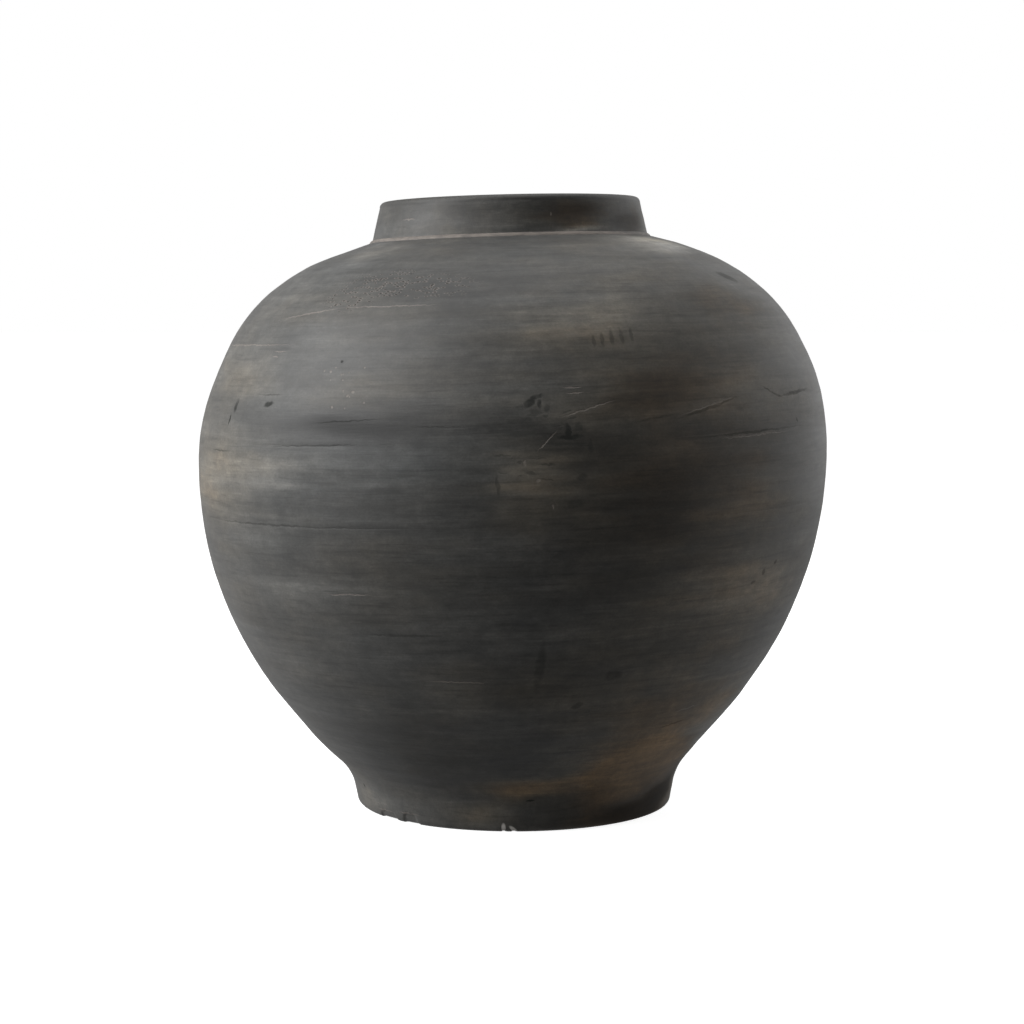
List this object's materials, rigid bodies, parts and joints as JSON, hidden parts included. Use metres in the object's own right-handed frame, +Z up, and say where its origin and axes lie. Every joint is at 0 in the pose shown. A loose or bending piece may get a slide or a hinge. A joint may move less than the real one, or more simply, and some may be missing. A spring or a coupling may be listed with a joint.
{
  "type": "round clay jar",
  "caption": "Wide round-bellied black clay jar on a low foot with a short open neck, coil built and smoke fired, matte.",
  "frame": {"origin": "centre of the standing face, on the ground under the jar's axis", "axes": "+Z up along the jar's axis, out of the mouth; -Y is the side that faces the viewer in the usual view"},
  "size_m": [0.401, 0.401, 0.3878],
  "materials": {
    "black_clay": "matte, smoke-blackened, with tan-brown clouding and fine level striations",
    "pale_slip": "matte, rubbed paler than the wall"
  },
  "bodies": {
    "root": {"base_disc": "black_clay", "foot_ring": "black_clay", "flank_band": "black_clay", "lower_belly_band": "black_clay", "mid_belly_band": "black_clay", "wide_belly_band": "black_clay", "lower_shoulder_band": "black_clay", "upper_shoulder_band": "black_clay", "neck_collar": "black_clay", "lip_coil": "black_clay", "inner_corner_coil": "black_clay", "neck_joint_bead": "pale_slip"}
  },
  "joints": []
}
